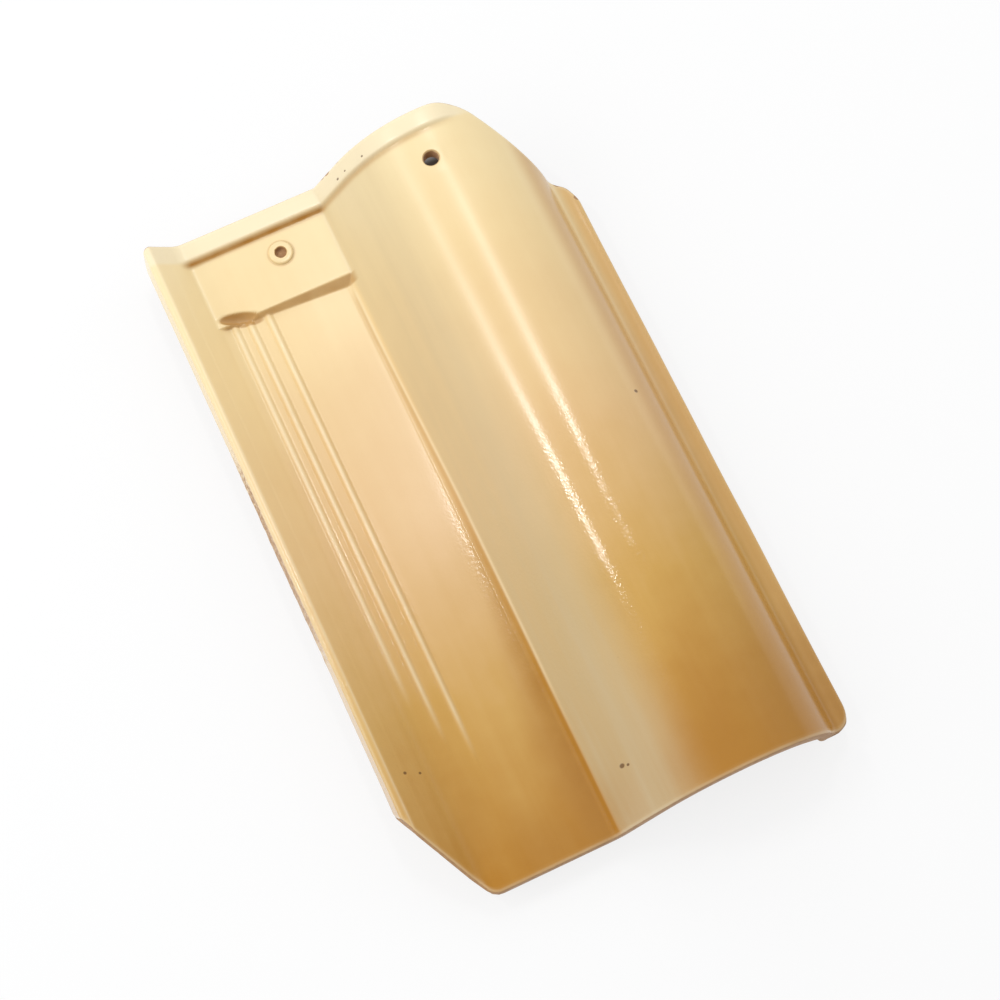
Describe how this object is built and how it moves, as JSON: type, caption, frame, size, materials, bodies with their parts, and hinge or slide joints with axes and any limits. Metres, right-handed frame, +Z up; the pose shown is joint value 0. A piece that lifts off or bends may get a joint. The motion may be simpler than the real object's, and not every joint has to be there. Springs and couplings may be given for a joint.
{
  "type": "roof tile",
  "caption": "Glazed clay roof tile with a flat pan, a round roll, a lip up one side, a bead and raised ledge at the head, and hanging nibs under it.",
  "frame": {"origin": "middle of the footprint, level with the tips of the nibs", "axes": "+X from the pan to the roll, +Y along the tile from tail to head, +Z up"},
  "size_m": [0.26, 0.436, 0.0775],
  "materials": {
    "glazed_clay": "gloss"
  },
  "bodies": {
    "root": {"roof_tile": "glazed_clay"}
  },
  "joints": []
}
